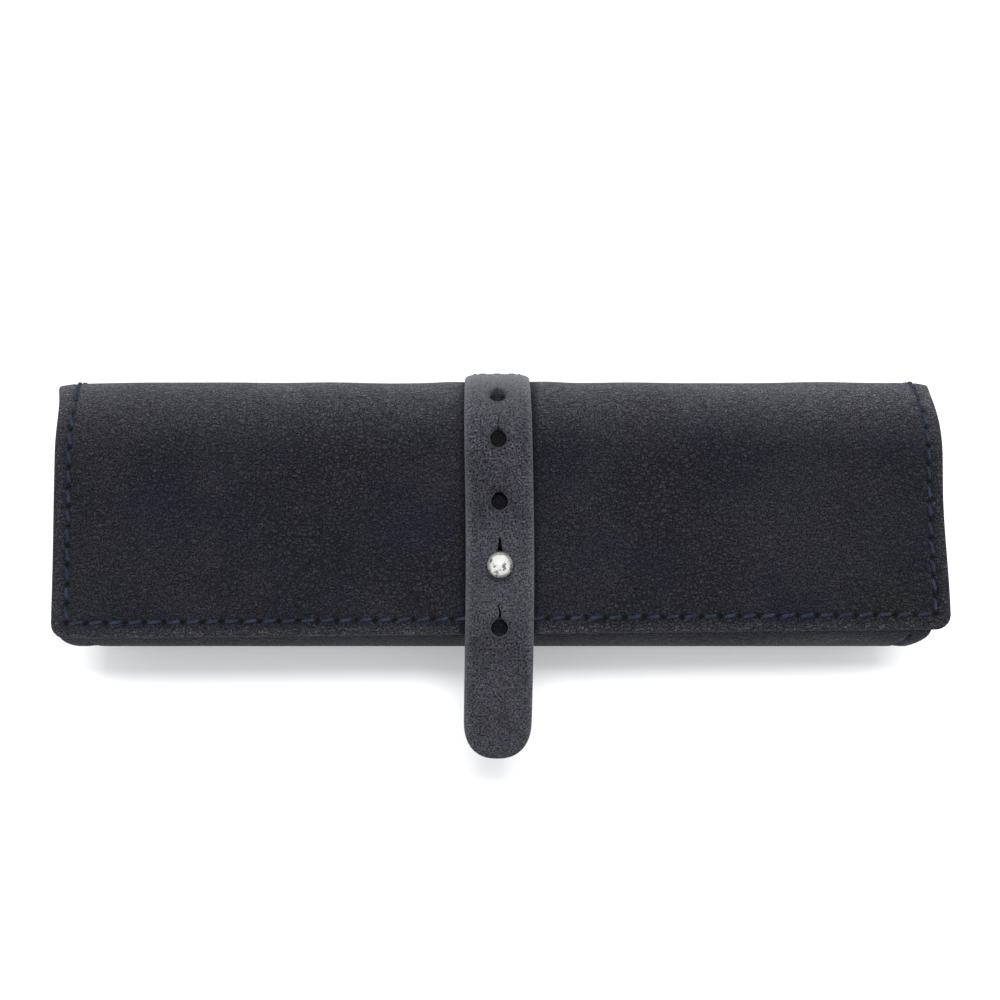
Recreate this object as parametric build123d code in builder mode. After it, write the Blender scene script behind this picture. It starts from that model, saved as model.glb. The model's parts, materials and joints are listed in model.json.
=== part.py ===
from build123d import *
import os
from math import cos, degrees, radians, sin

# A lined leather pencil case lying on its base, with its flap buttoned shut by a strap.
# +X runs along the case, +Y to the rear (the spine), +Z up. The origin is the middle of the base.
# The case has one section all along X: base, round front fold, front panel, spine and flap.
# "Depth" is measured inwards from the outer face of a panel, square to it.

# ---- Driving dimensions, mm and degrees ----
case_width = 210.0
case_depth = 66.0
spine_lower_radius = 11.0        # tight bend off the base
spine_upper_radius = 20.0        # wide bend over to the top
top_slope = 2.5                  # the top rises from the spine to the front
outer_thickness = 1.2
lining_thickness = 1.0
flap_gap = 0.5                   # between the front panel and the closed flap
flap_length = 41.9               # straight part of the flap, from the spine to its cut edge
flap_corner_radius = 3.0
flap_stud_hole_radius = 4.0
crease_angle = -20.0             # where the flap bends off the back panel, round the spine
crease_gap_angle = 0.3
outer_butt_y = -14.0             # seam between the front and back panels, under the base
lining_butt_y = -4.0
mouth_along = 2.0                # rear edge of the front panel, from the spine's end of the top

gusset_thickness = 1.5
gusset_recess = 8.0
gusset_edge_clearance = 1.0      # between the gusset's free edge and the flap's lining
gusset_edge_angle = 45.0

strap_width = 16.0
strap_thickness = 2.0
strap_gap = 0.15
strap_root_angle = -8.0
strap_bend_angle = 55.5          # where the loose strap bends off its sewn root
strap_bend_gap_angle = 0.2
tail_bend_radius = 64.0
tail_droop = 27.0
tail_tip_length = 9.0
strap_hole_radius = 2.0
strap_hole_pitch = 14.8
root_hole_pitch = 11.8           # from the last loose hole to the one in the root
root_hole_step = 3               # holes are counted from the stud's, towards the spine
loose_hole_steps = (-1, 0, 1, 2)
slit_width = 0.5
slit_length = 3.8

stud_along = 25.6                # stud's place on the top, from the spine's end
ball_radius = 3.0
ball_clearance = 0.15
neck_radius = 1.6
flange_radius = 3.5
flange_height = 0.6
screw_radius = 1.0
screw_fit = 0.02
screw_grip = 4.0                 # how far the screw reaches into the stud
screw_head_radius = 4.0
screw_head_height = 1.2
screw_slot_width = 1.0
screw_slot_depth = 0.5
patch_radius = 5.4
patch_thickness = 1.2

stitch_pitch = 4.5
stitch_length = 3.4
body_stitch_length = 3.0         # shorter, because the folds crowd the inner ends
stitch_width = 0.8
stitch_proud = 0.15
flap_seam_inset = 3.7
body_seam_inset = 5.5
base_seam_offset = 3.0           # each row of the base seam, from the butt
root_seam_inset = 2.4
root_seam_angles = (-3.0, 15.0)  # the two rows across the strap

# ---- Section geometry, worked out from the dimensions above ----
slope_sin = sin(radians(top_slope))
slope_cos = cos(radians(top_slope))
top_normal_angle = 90.0 - top_slope
lower_crease_angle = crease_angle - crease_gap_angle
leather_thickness = outer_thickness + lining_thickness
front_depth = leather_thickness + flap_gap
# The two bends of the spine meet at its rearmost line, at the height of both centres.
lower_y = case_depth / 2 - spine_lower_radius
upper_y = case_depth / 2 - spine_upper_radius
spine_z = spine_lower_radius
# The fold touches the base plane, the front panel's face and the case's front limit.
front_panel_height = upper_y * slope_sin + spine_z * slope_cos + spine_upper_radius - front_depth
fold_radius = (front_panel_height + slope_sin * case_depth / 2) / (1 + slope_cos + slope_sin)
fold_y = fold_radius - case_depth / 2
fold_centre = (fold_y, fold_radius)
fold_along = (upper_y - fold_y) * slope_cos + (fold_radius - spine_z) * slope_sin
strap_top = strap_gap + strap_thickness
strap_middle_radius = spine_upper_radius + strap_gap + strap_thickness / 2


def on_top(along, depth):
    """Point (y, z) on the sloping top: along it from the spine, and below the flap's outer face."""
    reach = spine_upper_radius - depth
    return (
        upper_y + reach * slope_sin - along * slope_cos,
        spine_z + reach * slope_cos + along * slope_sin,
    )


def on_spine(angle, depth):
    """Point (y, z) round the spine, where its face looks up at this angle."""
    if angle < 0:
        centre_y, reach = lower_y, spine_lower_radius - depth
    else:
        centre_y, reach = upper_y, spine_upper_radius - depth
    return (centre_y + reach * cos(radians(angle)), spine_z + reach * sin(radians(angle)))


def face_plane(x, point, normal_angle):
    """Plane on a face of the case: its X runs along the case and its Z points outwards."""
    direction = (0, cos(radians(normal_angle)), sin(radians(normal_angle)))
    return Plane(origin=(x, point[0], point[1]), x_dir=(1, 0, 0), z_dir=direction)


# ---- Outlines of the section's bands, drawn inside a BuildLine on Plane.YZ ----
def spine_path(depth, low_angle, high_angle):
    """Arcs of the spine from one angle on its lower bend to another on its upper one."""
    CenterArc((lower_y, spine_z), spine_lower_radius - depth, low_angle, -low_angle)
    CenterArc((upper_y, spine_z), spine_upper_radius - depth, 0, high_angle)


def front_path(depth, base_end):
    """Front panel from its mouth edge, round the fold, to base_end on the base."""
    Line(on_top(mouth_along, front_depth + depth), on_top(fold_along, front_depth + depth))
    CenterArc(fold_centre, fold_radius - depth, top_normal_angle, 180 + top_slope)
    Line((fold_y, depth), (base_end, depth))


def back_path(depth, base_start):
    """Base from base_start to the spine, and up the spine to the crease."""
    Line((base_start, depth), (lower_y, depth))
    CenterArc((lower_y, spine_z), spine_lower_radius - depth, -90, 90 + lower_crease_angle)


def front_band(outer, inner, base_end):
    """Closed outline of one front layer, between two depths."""
    front_path(outer, base_end)
    front_path(inner, base_end)
    Line(on_top(mouth_along, front_depth + outer), on_top(mouth_along, front_depth + inner))
    Line((base_end, outer), (base_end, inner))


def back_band(outer, inner, base_start):
    """Closed outline of one back layer, between two depths."""
    back_path(outer, base_start)
    back_path(inner, base_start)
    Line(on_spine(lower_crease_angle, outer), on_spine(lower_crease_angle, inner))
    Line((base_start, outer), (base_start, inner))


def flap_band(outer, inner):
    """Closed outline of one flap layer: the upper spine, and the top to its cut edge."""
    for depth in (outer, inner):
        spine_path(depth, crease_angle, top_normal_angle)
        Line(on_top(0, depth), on_top(flap_length, depth))
    Line(on_spine(crease_angle, outer), on_spine(crease_angle, inner))
    Line(on_top(flap_length, outer), on_top(flap_length, inner))


# ---- Stations along the seams ----
def shell_station(distance):
    """Point and outward angle on the shell, from the mouth edge round to the crease."""
    front_length = fold_along - mouth_along
    fold_length = fold_radius * radians(180 + top_slope)
    base_length = lower_y - fold_y
    if distance < front_length:
        return on_top(mouth_along + distance, front_depth), top_normal_angle
    distance -= front_length
    if distance < fold_length:
        angle = top_normal_angle + degrees(distance / fold_radius)
        point = (
            fold_y + fold_radius * cos(radians(angle)),
            fold_radius + fold_radius * sin(radians(angle)),
        )
        return point, angle
    distance -= fold_length
    if distance < base_length:
        return (fold_y + distance, 0), 270
    distance -= base_length
    angle = -90 + degrees(distance / spine_lower_radius)
    return on_spine(angle, 0), angle


lower_flap_length = spine_lower_radius * radians(-crease_angle)
upper_flap_length = spine_upper_radius * radians(top_normal_angle)


def flap_station(distance):
    """Point and outward angle on the flap, from the crease to its cut edge."""
    if distance < lower_flap_length:
        angle = crease_angle + degrees(distance / spine_lower_radius)
        return on_spine(angle, 0), angle
    distance -= lower_flap_length
    if distance < upper_flap_length:
        angle = degrees(distance / spine_upper_radius)
        return on_spine(angle, 0), angle
    return on_top(distance - upper_flap_length, 0), top_normal_angle


def seam_planes(station, seam_length, x):
    """A plane for each stitch of a row that follows the section at one x."""
    count = int(seam_length / stitch_pitch)
    start = (seam_length - (count - 1) * stitch_pitch) / 2
    planes = []
    for index in range(count):
        point, angle = station(start + index * stitch_pitch)
        # Where the case stands on its leather, the stitches are sunk below the face.
        lift = -stitch_proud if sin(radians(angle)) < -0.7 else stitch_proud
        planes.append(face_plane(x, point, angle).offset(lift))
    return planes


# ---- Shell: leather panels and linings ----
stud_plane = face_plane(0, on_top(stud_along, front_depth), top_normal_angle)

with BuildPart() as front_panel:
    with BuildSketch(Plane.YZ):
        with BuildLine():
            front_band(0, outer_thickness, outer_butt_y)
        make_face()
    extrude(amount=case_width / 2, both=True)
    with Locations(stud_plane):
        Cylinder(screw_radius + screw_fit, 2 * leather_thickness, mode=Mode.SUBTRACT)

with BuildPart() as front_lining:
    with BuildSketch(Plane.YZ):
        with BuildLine():
            front_band(outer_thickness, leather_thickness, lining_butt_y)
        make_face()
    extrude(amount=case_width / 2, both=True)
    with Locations(stud_plane):
        Cylinder(screw_radius + screw_fit, 3 * leather_thickness, mode=Mode.SUBTRACT)

with BuildPart() as back_panel:
    with BuildSketch(Plane.YZ):
        with BuildLine():
            back_band(0, outer_thickness, outer_butt_y)
        make_face()
    extrude(amount=case_width / 2, both=True)

with BuildPart() as back_lining:
    with BuildSketch(Plane.YZ):
        with BuildLine():
            back_band(outer_thickness, leather_thickness, lining_butt_y)
        make_face()
    extrude(amount=case_width / 2, both=True)

# ---- Shell: gussets, each a wall set in from the end with a flange sewn to the panels ----
wall_outer_x = case_width / 2 - gusset_recess
wall_inner_x = wall_outer_x - gusset_thickness
flange_inner_depth = leather_thickness + gusset_thickness
gusset_edge_depth = leather_thickness + gusset_edge_clearance

with BuildPart() as gusset_right:
    with BuildSketch(Plane.YZ.offset(wall_inner_x)):
        with BuildLine():
            front_path(leather_thickness, 0)
            back_path(leather_thickness, 0)
            Line(
                on_spine(lower_crease_angle, leather_thickness),
                on_spine(lower_crease_angle, gusset_edge_depth),
            )
            ThreePointArc(
                on_spine(lower_crease_angle, gusset_edge_depth),
                on_spine(gusset_edge_angle, gusset_edge_depth),
                on_top(mouth_along, front_depth + leather_thickness),
            )
        make_face()
    extrude(amount=gusset_thickness)
    with BuildSketch(Plane.YZ.offset(wall_inner_x)):
        with BuildLine():
            front_band(leather_thickness, flange_inner_depth, 0)
        make_face()
        with BuildLine():
            back_band(leather_thickness, flange_inner_depth, 0)
        make_face()
    extrude(amount=gusset_recess + gusset_thickness)

with BuildPart() as gusset_left:
    mirror(gusset_right.part, about=Plane.YZ)

# ---- Shell: ball stud, its screw and the leather patch under the screw's head ----
ball_height = front_depth + strap_top + (ball_radius**2 - strap_hole_radius**2) ** 0.5 + ball_clearance

with BuildPart() as stud_head:
    with Locations(stud_plane):
        Cylinder(flange_radius, flange_height, align=(Align.CENTER, Align.CENTER, Align.MIN))
        Cylinder(neck_radius, ball_height, align=(Align.CENTER, Align.CENTER, Align.MIN))
    with Locations(stud_plane.offset(ball_height)):
        Sphere(ball_radius)
    with Locations(stud_plane):
        Cylinder(
            screw_radius + screw_fit,
            screw_grip,
            align=(Align.CENTER, Align.CENTER, Align.MIN),
            mode=Mode.SUBTRACT,
        )

patch_plane = stud_plane.offset(-leather_thickness)
with BuildPart() as stud_patch:
    with Locations(patch_plane):
        Cylinder(patch_radius, patch_thickness, align=(Align.CENTER, Align.CENTER, Align.MAX))
        Cylinder(screw_radius + screw_fit, 3 * patch_thickness, mode=Mode.SUBTRACT)

screw_plane = patch_plane.offset(-patch_thickness)
with BuildPart() as stud_screw:
    with Locations(screw_plane):
        Cylinder(
            screw_head_radius, screw_head_height, align=(Align.CENTER, Align.CENTER, Align.MAX)
        )
        Cylinder(
            screw_radius,
            patch_thickness + leather_thickness + screw_grip - ball_clearance,
            align=(Align.CENTER, Align.CENTER, Align.MIN),
        )
    with Locations(screw_plane.offset(-screw_head_height)):
        Box(screw_slot_width, 2 * screw_head_radius, 2 * screw_slot_depth, mode=Mode.SUBTRACT)

# ---- Shell: seam threads; each stitch is one solid through the leather ----
shell_seam_length = (
    fold_along - mouth_along
    + fold_radius * radians(180 + top_slope)
    + lower_y - fold_y
    + spine_lower_radius * radians(90 + crease_angle)
)
body_seam_x = case_width / 2 - body_seam_inset
body_seam_height = leather_thickness + gusset_thickness + stitch_proud

with BuildPart() as side_seam_thread_right:
    with Locations(*seam_planes(shell_station, shell_seam_length, body_seam_x)):
        Box(
            stitch_width,
            body_stitch_length,
            body_seam_height,
            align=(Align.CENTER, Align.CENTER, Align.MAX),
        )

with BuildPart() as side_seam_thread_left:
    mirror(side_seam_thread_right.part, about=Plane.YZ)

base_seam_count = int(2 * (wall_inner_x - stitch_length) / stitch_pitch)
with BuildPart() as base_seam_thread:
    for row_y in (outer_butt_y - base_seam_offset, outer_butt_y + base_seam_offset):
        with Locations((0, row_y, stitch_proud)):
            with GridLocations(stitch_pitch, 1, base_seam_count, 1):
                Box(
                    stitch_length,
                    stitch_width,
                    leather_thickness,
                    align=(Align.CENTER, Align.CENTER, Align.MIN),
                )

# ---- Flap: outer leather, lining and seam ----
top_normal_axis = Axis((0, 0, 0), (0, slope_sin, slope_cos))

with BuildPart() as flap_outer:
    with BuildSketch(Plane.YZ):
        with BuildLine():
            flap_band(0, outer_thickness)
        make_face()
    extrude(amount=case_width / 2, both=True)
    fillet(flap_outer.edges().filter_by(top_normal_axis).sort_by(Axis.Y)[:2], flap_corner_radius)
    with Locations(stud_plane):
        Cylinder(flap_stud_hole_radius, 3 * front_depth, mode=Mode.SUBTRACT)

with BuildPart() as flap_lining:
    with BuildSketch(Plane.YZ):
        with BuildLine():
            flap_band(outer_thickness, leather_thickness)
        make_face()
    extrude(amount=case_width / 2, both=True)
    fillet(flap_lining.edges().filter_by(top_normal_axis).sort_by(Axis.Y)[:2], flap_corner_radius)
    with Locations(stud_plane):
        Cylinder(flap_stud_hole_radius, 3 * front_depth, mode=Mode.SUBTRACT)

flap_seam_x = case_width / 2 - flap_seam_inset
flap_seam_height = leather_thickness + 2 * stitch_proud
flap_seam_length = lower_flap_length + upper_flap_length + flap_length - flap_seam_inset
front_seam_plane = face_plane(0, on_top(flap_length - flap_seam_inset, -stitch_proud), top_normal_angle)
front_seam_count = int(2 * flap_seam_x / stitch_pitch) - 1

with BuildPart() as flap_seam_thread:
    for side_x in (-flap_seam_x, flap_seam_x):
        with Locations(*seam_planes(flap_station, flap_seam_length, side_x)):
            Box(stitch_width, stitch_length, flap_seam_height, align=(Align.CENTER, Align.CENTER, Align.MAX))
    with Locations(front_seam_plane):
        with GridLocations(stitch_pitch, 1, front_seam_count, 1):
            Box(stitch_length, stitch_width, flap_seam_height, align=(Align.CENTER, Align.CENTER, Align.MAX))


# ---- Strap: sewn root on the rear of the spine, and the loose part ----
def strap_hole_plane(steps):
    """Plane on the strap at a hole, counted from the stud's hole towards the spine."""
    along = stud_along - steps * strap_hole_pitch
    if steps == root_hole_step:
        along += strap_hole_pitch - root_hole_pitch
    if along >= 0:
        return face_plane(0, on_top(along, 0), top_normal_angle)
    angle = top_normal_angle + degrees(along / strap_middle_radius)
    return face_plane(0, on_spine(angle, 0), angle)


def button_hole(steps):
    """Sketch of a round hole with a slit towards the spine, on the strap's face."""
    with BuildSketch(strap_hole_plane(steps)) as hole:
        Circle(strap_hole_radius)
        with Locations((0, strap_hole_radius + slit_length / 2)):
            Rectangle(slit_width, slit_length + strap_hole_radius)
    return hole.sketch


with BuildPart() as strap_root:
    root_top_angle = strap_bend_angle - strap_bend_gap_angle
    with BuildSketch(Plane.YZ):
        with BuildLine():
            for height in (strap_gap, strap_top):
                spine_path(-height, strap_root_angle, root_top_angle)
            for angle in (strap_root_angle, root_top_angle):
                Line(on_spine(angle, -strap_gap), on_spine(angle, -strap_top))
        make_face()
    extrude(amount=strap_width / 2, both=True)
    extrude(button_hole(root_hole_step), amount=2 * strap_top, mode=Mode.SUBTRACT)

with BuildPart() as strap:
    with BuildSketch(Plane.YZ):
        loose_sweep = top_normal_angle - strap_bend_angle
        tail_centre = on_top(flap_length, tail_bend_radius)
        tail_end_angle = radians(top_normal_angle + tail_droop)
        tail_ends = []
        with BuildLine():
            for height in (strap_gap, strap_top):
                CenterArc(
                    (upper_y, spine_z), spine_upper_radius + height, strap_bend_angle, loose_sweep
                )
                Line(on_top(0, -height), on_top(flap_length, -height))
                tail_radius = tail_bend_radius + height
                CenterArc(tail_centre, tail_radius, top_normal_angle, tail_droop)
                tail_ends.append((
                    tail_centre[0] + tail_radius * cos(tail_end_angle),
                    tail_centre[1] + tail_radius * sin(tail_end_angle),
                ))
            Line(on_spine(strap_bend_angle, -strap_gap), on_spine(strap_bend_angle, -strap_top))
            Line(tail_ends[0], tail_ends[1])
        make_face()
    extrude(amount=strap_width / 2, both=True)
    # Seen from above, the tail ends in half an ellipse.
    tip_y = tail_ends[0][0]
    rear_y = case_depth / 2 + strap_top
    with BuildSketch(Plane.XY):
        with Locations((0, tip_y + tail_tip_length)):
            Ellipse(strap_width / 2, tail_tip_length)
            Rectangle(strap_width, rear_y - tip_y, align=(Align.CENTER, Align.MIN))
    extrude(amount=case_depth, mode=Mode.INTERSECT)
    for steps in loose_hole_steps:
        extrude(button_hole(steps), amount=2 * strap_top, mode=Mode.SUBTRACT)

root_seam_height = leather_thickness + strap_top + 2 * stitch_proud
root_seam_x = strap_width / 2 - root_seam_inset
with BuildPart() as strap_root_thread:
    for angle in root_seam_angles:
        row_plane = face_plane(0, on_spine(angle, -strap_top - stitch_proud), angle)
        with Locations(row_plane):
            with GridLocations(stitch_pitch, 1, 2, 1):
                Box(stitch_length, stitch_width, root_seam_height, align=(Align.CENTER, Align.CENTER, Align.MAX))
    side_angle = sum(root_seam_angles) / 2
    side_plane = face_plane(0, on_spine(side_angle, -strap_top - stitch_proud), side_angle)
    with Locations(side_plane):
        with GridLocations(2 * root_seam_x, 1, 2, 1):
            Box(stitch_width, stitch_length, root_seam_height, align=(Align.CENTER, Align.CENTER, Align.MAX))

# ---- Export, one STEP file for each piece ----
os.makedirs("parts", exist_ok=True)
pieces = {
    "front_panel": front_panel,
    "front_lining": front_lining,
    "back_panel": back_panel,
    "back_lining": back_lining,
    "gusset_left": gusset_left,
    "gusset_right": gusset_right,
    "stud_head": stud_head,
    "stud_screw": stud_screw,
    "stud_patch": stud_patch,
    "side_seam_thread_left": side_seam_thread_left,
    "side_seam_thread_right": side_seam_thread_right,
    "base_seam_thread": base_seam_thread,
    "flap_outer": flap_outer,
    "flap_lining": flap_lining,
    "flap_seam_thread": flap_seam_thread,
    "strap_root": strap_root,
    "strap_root_thread": strap_root_thread,
    "strap": strap,
}
for piece_name, piece in pieces.items():
    piece.part.label = piece_name
    export_step(piece.part, f"parts/{piece_name}.step")
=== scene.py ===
"""Looks of the pencil case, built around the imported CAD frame.

Leather pieces are made as flat patterns and bent round the case's section. A pattern point is
(x, along): x runs along the case, and along follows the section. Depth is measured inwards
from the outer face. Geometry is worked out in millimetres, and meshes are written in metres.
"""

import json
import math

import bpy
import numpy as np
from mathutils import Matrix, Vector
from mathutils.geometry import delaunay_2d_cdt


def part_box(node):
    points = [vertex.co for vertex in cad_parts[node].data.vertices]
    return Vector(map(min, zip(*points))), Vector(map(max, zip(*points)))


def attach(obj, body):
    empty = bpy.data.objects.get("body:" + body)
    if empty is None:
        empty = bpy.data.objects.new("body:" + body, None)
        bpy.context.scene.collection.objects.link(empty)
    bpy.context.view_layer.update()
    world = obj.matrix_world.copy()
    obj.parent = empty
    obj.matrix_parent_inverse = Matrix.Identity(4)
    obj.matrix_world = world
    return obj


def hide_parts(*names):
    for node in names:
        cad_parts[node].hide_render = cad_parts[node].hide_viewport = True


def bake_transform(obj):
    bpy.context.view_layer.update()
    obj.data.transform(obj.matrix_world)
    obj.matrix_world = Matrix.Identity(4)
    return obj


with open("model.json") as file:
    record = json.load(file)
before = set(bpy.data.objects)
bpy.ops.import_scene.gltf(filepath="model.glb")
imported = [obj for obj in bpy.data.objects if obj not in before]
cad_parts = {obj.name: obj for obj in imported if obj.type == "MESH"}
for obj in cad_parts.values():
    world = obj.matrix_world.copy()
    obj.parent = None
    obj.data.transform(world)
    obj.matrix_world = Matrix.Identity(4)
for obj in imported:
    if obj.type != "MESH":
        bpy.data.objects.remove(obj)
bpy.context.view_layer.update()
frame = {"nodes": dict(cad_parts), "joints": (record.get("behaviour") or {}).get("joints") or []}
random = np.random.default_rng(11)

MM = 0.001

# ---- Dimensions of the case, mm and degrees, the same as the CAD model's ----
half_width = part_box("front_panel")[1].x / MM
case_depth = 66.0
spine_lower_radius = 11.0
spine_upper_radius = 20.0
top_slope = 2.5
outer_thickness = 1.2
lining_thickness = 1.0
flap_gap = 0.5
flap_length = 41.9
flap_corner_radius = 3.0
flap_stud_hole_radius = 4.0
crease_angle = -20.0
outer_butt_y = -14.0
lining_butt_y = -4.0
mouth_along = 2.0

gusset_thickness = 1.5
gusset_recess = 8.0
gusset_edge_inset = 0.4
gusset_turn_radius = 2.2
gusset_bow = 7.0
gusset_sag = 1.3

strap_half_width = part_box("strap")[1].x / MM
strap_thickness = 2.0
strap_gap = 0.15
strap_root_angle = -8.0
tail_bend_radius = 64.0
tail_droop = 27.0
strap_hole_radius = 2.0
strap_hole_pitch = 14.8
root_hole_pitch = 11.8
stud_along = 25.6

ball_radius = 3.0
ball_height = 7.24
neck_radius = 1.6
flange_radius = 3.5
flange_height = 0.6
patch_radius = 5.4
patch_thickness = 1.2

stitch_pitch = 4.5
flap_seam_inset = 3.7
body_seam_inset = 4.6
base_seam_offset = 3.0
root_seam_inset = 2.4
root_seam_angles = (-4.0, 7.0)

# ---- Section geometry, worked out from the dimensions above ----
slope_sin = math.sin(math.radians(top_slope))
slope_cos = math.cos(math.radians(top_slope))
top_normal_angle = 90.0 - top_slope
leather_thickness = outer_thickness + lining_thickness
front_depth = leather_thickness + flap_gap
lower_y = case_depth / 2 - spine_lower_radius
upper_y = case_depth / 2 - spine_upper_radius
spine_z = spine_lower_radius
front_panel_height = upper_y * slope_sin + spine_z * slope_cos + spine_upper_radius - front_depth
fold_radius = (front_panel_height + slope_sin * case_depth / 2) / (1 + slope_cos + slope_sin)
fold_y = fold_radius - case_depth / 2
fold_along = (upper_y - fold_y) * slope_cos + (fold_radius - spine_z) * slope_sin
strap_top = strap_gap + strap_thickness


def on_top(along, depth):
    """Point (y, z) on the sloping top: along it from the spine, below the flap's outer face."""
    reach = spine_upper_radius - depth
    return (
        upper_y + reach * slope_sin - along * slope_cos,
        spine_z + reach * slope_cos + along * slope_sin,
    )


def smooth_step(value, low, high):
    """0 below low, 1 above high, and an even curve between."""
    share = np.clip((value - low) / (high - low), 0, 1)
    return share * share * (3 - 2 * share)


def bell(value, width):
    """1 at zero, fading to nothing on both sides."""
    return np.exp(-((value / width) ** 2))


def length_of(offset):
    """Length of each offset in the flat pattern."""
    return np.hypot(offset[:, 0], offset[:, 1])


def from_line(points, start, end):
    """Distance of each point from the straight line between two points."""
    run = end - start
    share = np.clip((points - start) @ run / (run @ run), 0, 1)
    return length_of(points - start - share[:, None] * run)


class Section:
    """A curve in the case's section, made of stretches, each with a length and a turn."""

    step = 0.1

    def __init__(self, start, heading, stretches):
        lengths = []
        turns = []
        for length, turn in stretches:
            count = math.ceil(length / self.step)
            lengths += [length / count] * count
            turns += [math.radians(turn) / count] * count
        self.heading = math.radians(heading) + np.concatenate([[0], np.cumsum(turns)])
        middle = (self.heading[1:] + self.heading[:-1]) / 2
        self.along = np.concatenate([[0], np.cumsum(lengths)])
        self.y = start[0] + np.concatenate([[0], np.cumsum(lengths * np.cos(middle))])
        self.z = start[1] + np.concatenate([[0], np.cumsum(lengths * np.sin(middle))])

    def place(self, along, depth):
        """Points (y, z) at these distances along the curve and depths below its outer side."""
        beyond = along - np.clip(along, 0, self.along[-1])
        heading = np.interp(along, self.along, self.heading)
        y = np.interp(along, self.along, self.y) + beyond * np.cos(heading)
        z = np.interp(along, self.along, self.z) + beyond * np.sin(heading)
        return y - depth * np.sin(heading), z + depth * np.cos(heading)


base_length = lower_y - outer_butt_y
lower_bend_length = spine_lower_radius * math.pi / 2
upper_bend_length = spine_upper_radius * math.radians(top_normal_angle)
fold_length = fold_radius * math.radians(180 + top_slope)
wrap_stretches = [
    (base_length, 0),
    (lower_bend_length, 90),
    (upper_bend_length, top_normal_angle),
    (flap_length, 0),
]
tail_stretch = (tail_bend_radius * math.radians(tail_droop), tail_droop)
wrap_section = Section((outer_butt_y, 0), 0, wrap_stretches)
strap_section = Section((outer_butt_y, 0), 0, wrap_stretches + [tail_stretch])
front_section = Section(
    on_top(mouth_along, front_depth),
    180 - top_slope,
    [
        (fold_along - mouth_along, 0),
        (fold_length, 180 + top_slope),
        (outer_butt_y - fold_y, 0),
    ],
)

spine_along = base_length + lower_bend_length
crease_along = spine_along + spine_lower_radius * math.radians(crease_angle)
top_along = spine_along + upper_bend_length
flap_end = top_along + flap_length
front_end = fold_along - mouth_along + fold_length + outer_butt_y - fold_y
strap_start = spine_along + spine_lower_radius * math.radians(strap_root_angle)
strap_end = flap_end + tail_stretch[0]

# ---- How the leather is bent out of true: waves, skew, and ends pulled in ----
flap_skew = math.tan(math.radians(0.6))
left_flare = 5.4
left_flare_spread = 13.0
right_flare = 2.6
right_flare_spread = 9.0
flap_flare_start = top_along + 8
left_flap_flare = 0.3
right_flap_flare = 1.3
left_wall_flare = 0.4
right_wall_pull = 0.2
wave_stand = 0.2
long_ripple = 0.11
slanted_ripple = 0.08
short_ripple = 0.05
swell_beside_strap = 0.22
right_front_pull = 1.1
right_fold_pull = 3.0
left_fold_flare = 2.0
edge_drop = 0.35
edge_drop_width = 4.0
strap_sway = 0.85
strap_sway_reach = 38.0
strap_crown = 0.12
strap_bend_crown = 0.9


def wave(x, along):
    """Soft unevenness of the wrap: it stands slightly out, and is flat under the case."""
    rise = (
        long_ripple * np.sin(x / 12.1 + 0.6) * np.sin(along / 9.3 + 1.1)
        + slanted_ripple * np.sin((x + 0.7 * along) / 6.3 + 2.0)
        + short_ripple * np.sin((x - 0.9 * along) / 3.9)
    )
    beside_strap = swell_beside_strap * bell(np.abs(x) - 1.5 * strap_half_width, 5)
    on_wrap = smooth_step(along, base_length, spine_along)
    return -on_wrap * (wave_stand + rise + beside_strap)


def flare(x, along):
    """How far the ends of the wrap stand out: most round the spine, on the left."""
    past_spine = along - spine_along
    above_base = smooth_step(past_spine, -15, 0)
    near_edge = smooth_step(along, flap_flare_start, flap_end)
    left = left_flare * bell(past_spine, left_flare_spread) + left_wall_flare * above_base
    left = left + left_flap_flare * near_edge
    right = right_flare * bell(past_spine, right_flare_spread) - right_wall_pull * above_base
    right = right + right_flap_flare * near_edge
    return np.where(x > 0, right, -left) * (np.abs(x) / half_width) ** 8


def wrap_place(x, along, depth):
    """Space points of the wrap that forms the base, the spine and the flap."""
    reach = smooth_step(along, spine_along, flap_end)
    dropped = edge_drop * smooth_step(np.abs(x), half_width - edge_drop_width, half_width)
    depth = depth + wave(x, along) + dropped * smooth_step(along, base_length, spine_along)
    y, z = wrap_section.place(along - flap_skew * x * reach, depth)
    return np.stack([x + flare(x, along), y, z], axis=-1)


def front_place(x, along, depth):
    """Space points of the front panel: round the fold its right end is pulled in."""
    fold_start = fold_along - mouth_along
    on_fold = smooth_step(along, fold_start - 6, fold_start + 8)
    on_fold = on_fold * smooth_step(-along, -front_end, 12 - front_end)
    right = right_front_pull + right_fold_pull * smooth_step(along, fold_start + 12, fold_start + 21)
    left = left_fold_flare * (1 - smooth_step(along, fold_start + 14, fold_start + 23))
    pulled = np.where(x > 0, right, left) * (np.abs(x) / half_width) ** 10
    y, z = front_section.place(along, depth)
    return np.stack([x - pulled * on_fold, y, z], axis=-1)


def strap_place(x, along, depth):
    """Space points of the strap, which lies on the flap and sways a little from side to side."""
    sway = strap_sway * (1 - bell(along - top_along - stud_along, strap_sway_reach))
    sunk = wave(0 * x, along) * smooth_step(-along, -flap_end - 6, -flap_end)
    at_bend = strap_bend_crown * bell(along - spine_along - 3, 11) * (np.abs(x) / strap_half_width) ** 6
    crown = (strap_crown * (x / strap_half_width) ** 4 + at_bend) * -depth / strap_top
    y, z = strap_section.place(along, depth + sunk + crown)
    return np.stack([x - sway, y, z], axis=-1)


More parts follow.
